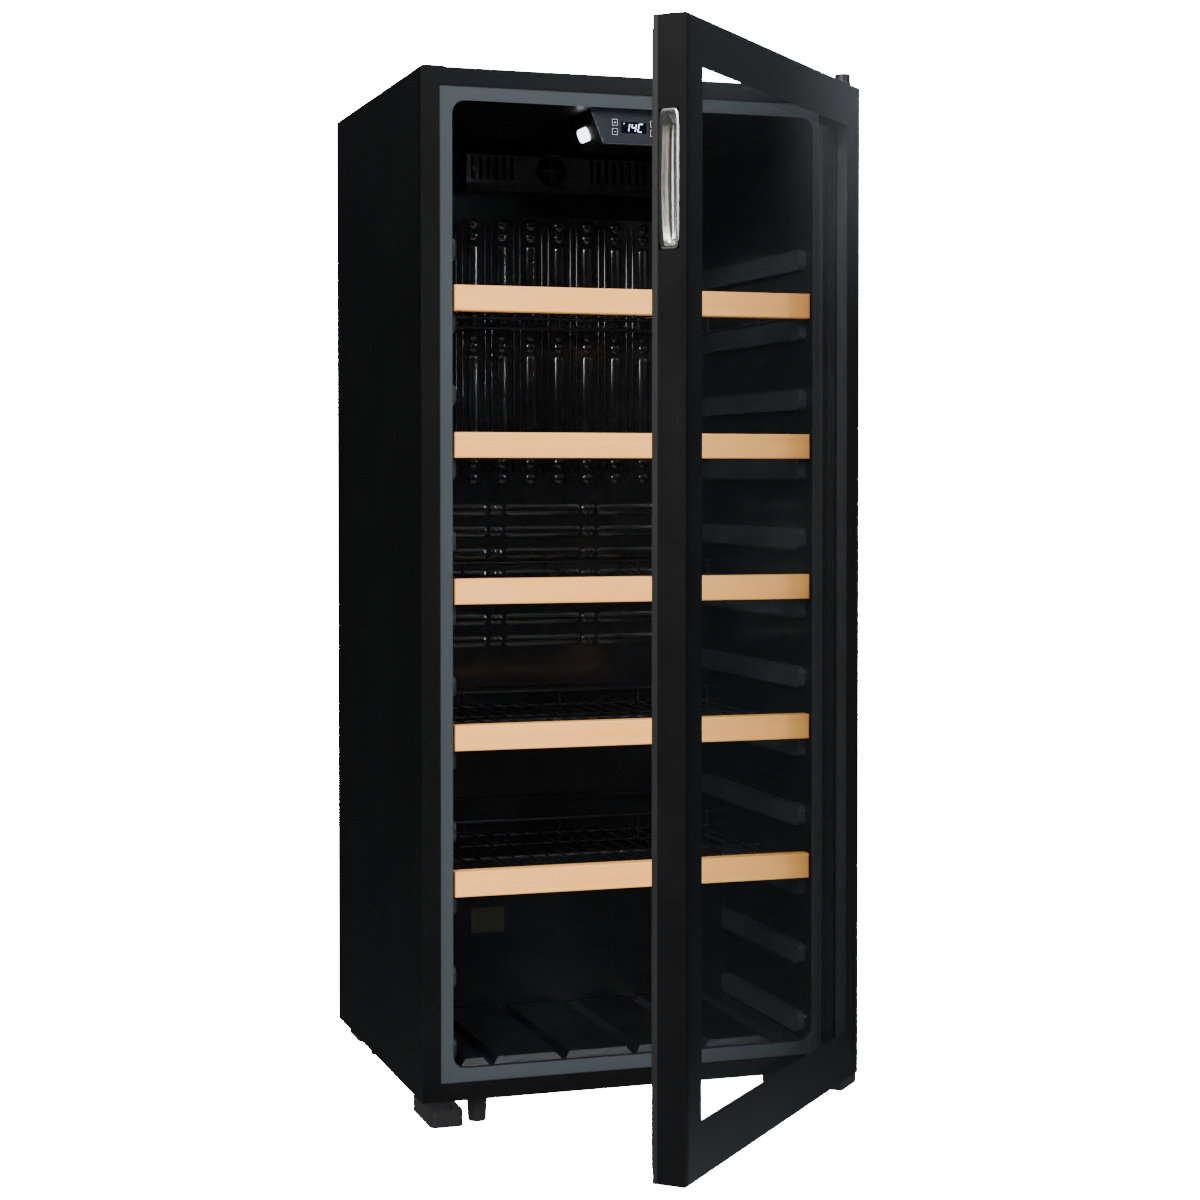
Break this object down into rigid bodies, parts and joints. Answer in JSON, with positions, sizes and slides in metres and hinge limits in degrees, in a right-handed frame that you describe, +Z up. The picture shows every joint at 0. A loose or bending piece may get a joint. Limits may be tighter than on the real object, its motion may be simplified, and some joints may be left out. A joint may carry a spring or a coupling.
{
  "type": "wine cooler",
  "caption": "Free-standing upright wine cooler with a hinged glass door, sliding wood-fronted wire shelves, ceiling control panel and rear compressor.",
  "frame": {"origin": "centre of the footprint, open door included, on the floor", "axes": "+Z up, -Y towards the front opening, +X to the right seen from the front"},
  "size_m": [0.6086, 0.9907, 1.405],
  "materials": {
    "casing_steel": "satin",
    "liner_plastic": "satin black",
    "foam": "matte foam",
    "evaporator_metal": "gloss black coat",
    "black_plastic": "satin",
    "gloss_black": "gloss",
    "display": "gloss",
    "lamp_lens": "frosted",
    "beech": "satin",
    "wire_coat": "gloss black",
    "clear_glass": "polished",
    "print_black": "gloss",
    "door_profile": "satin anodised",
    "spacer_metal": "satin",
    "gasket_rubber": "matte",
    "chrome": "polished",
    "hinge_steel": "satin",
    "rubber": "matte",
    "compressor_paint": "gloss",
    "copper": "dull copper",
    "zinc": "zinc plated",
    "label": "blank"
  },
  "bodies": {
    "cabinet": {"air_duct_cover": "gloss_black", "base_plate": "casing_steel", "blank_label_plate": "label", "compressor": "compressor_paint", "compressor_mounts": "rubber", "compressor_terminal_box": "black_plastic", "condenser_clips": "black_plastic", "condenser_coil": "wire_coat", "control_fascia": "gloss_black", "control_housing": "black_plastic", "display_module": "display", "drip_tray": "black_plastic", "evaporator_plate": "evaporator_metal", "fan_shroud": "black_plastic", "filter_drier": "copper", "insulation_foam": "foam", "lamp_lenses": "lamp_lens", "left_side_panel": "casing_steel", "liner": "liner_plastic", "lower_hinge_bracket": "hinge_steel", "lower_left_corner_block": "black_plastic", "panel_screws": "zinc", "power_inlet": "black_plastic", "rear_feet": "black_plastic", "rear_panel": "casing_steel", "right_side_panel": "casing_steel", "shelf_rails": "wire_coat", "temperature_probe": "black_plastic", "top_blanking_cover": "black_plastic", "top_hinge_bracket": "hinge_steel", "top_hinge_cap": "black_plastic", "top_panel": "casing_steel"},
    "door": {"door_outer_glass": "clear_glass", "door_glass_border": "print_black", "door_frame": "door_profile", "door_glass_spacer": "spacer_metal", "door_inner_glass": "clear_glass", "door_rear_trim": "door_profile", "door_gasket": "gasket_rubber", "door_handle_recess": "chrome", "door_hinge_bushes": "black_plastic", "door_lower_hinge_block": "black_plastic", "door_hole_plug": "black_plastic"},
    "shelf_1": {"shelf_1_front": "beech", "shelf_1_grid": "wire_coat"},
    "shelf_2": {"shelf_2_front": "beech", "shelf_2_grid": "wire_coat"},
    "shelf_3": {"shelf_3_front": "beech", "shelf_3_grid": "wire_coat"},
    "shelf_4": {"shelf_4_front": "beech", "shelf_4_grid": "wire_coat"},
    "shelf_5": {"shelf_5_front": "beech", "shelf_5_grid": "wire_coat"},
    "fan_impeller": {"fan_impeller": "black_plastic"},
    "control_key_1": {"control_key_1": "black_plastic"},
    "control_key_2": {"control_key_2": "black_plastic"},
    "control_key_3": {"control_key_3": "black_plastic"},
    "control_key_4": {"control_key_4": "black_plastic"},
    "front_left_foot": {"front_left_foot": "black_plastic"},
    "front_right_foot": {"front_right_foot": "black_plastic"}
  },
  "joints": [
    {"name": "door_hinge", "type": "hinge", "parent": "cabinet", "child": "door", "pos_m": [0.27772, -0.05807, 0.7], "axis": [0, 0, 1], "range_deg": [-46.3, 63.7]},
    {"name": "shelf_1_slide", "type": "slide", "parent": "cabinet", "child": "shelf_1", "axis": [0, -1, 0], "range_m": [0, 0.022]},
    {"name": "shelf_2_slide", "type": "slide", "parent": "cabinet", "child": "shelf_2", "axis": [0, -1, 0], "range_m": [0, 0.022]},
    {"name": "shelf_3_slide", "type": "slide", "parent": "cabinet", "child": "shelf_3", "axis": [0, -1, 0], "range_m": [0, 0.022]},
    {"name": "shelf_4_slide", "type": "slide", "parent": "cabinet", "child": "shelf_4", "axis": [0, -1, 0], "range_m": [0, 0.022]},
    {"name": "shelf_5_slide", "type": "slide", "parent": "cabinet", "child": "shelf_5", "axis": [0, -1, 0], "range_m": [0, 0.022]},
    {"name": "fan_spin", "type": "hinge", "parent": "cabinet", "child": "fan_impeller", "pos_m": [-0.00677, 0.40063, 1.315], "axis": [0, 1, 0], "continuous": true},
    {"name": "control_key_1_press", "type": "slide", "parent": "cabinet", "child": "control_key_1", "axis": [0, 1, 0], "range_m": [0, 0.0006], "stiffness_N_per_m": 600},
    {"name": "control_key_2_press", "type": "slide", "parent": "cabinet", "child": "control_key_2", "axis": [0, 1, 0], "range_m": [0, 0.0006], "stiffness_N_per_m": 600},
    {"name": "control_key_3_press", "type": "slide", "parent": "cabinet", "child": "control_key_3", "axis": [0, 1, 0], "range_m": [0, 0.0006], "stiffness_N_per_m": 600},
    {"name": "control_key_4_press", "type": "slide", "parent": "cabinet", "child": "control_key_4", "axis": [0, 1, 0], "range_m": [0, 0.0006], "stiffness_N_per_m": 600},
    {"name": "front_left_foot_turn", "type": "hinge", "parent": "cabinet", "child": "front_left_foot", "pos_m": [-0.21927, 0.01263, 0.02], "axis": [0, 0, 1], "continuous": true},
    {"name": "front_right_foot_turn", "type": "hinge", "parent": "cabinet", "child": "front_right_foot", "pos_m": [0.20572, 0.01263, 0.02], "axis": [0, 0, 1], "continuous": true}
  ]
}
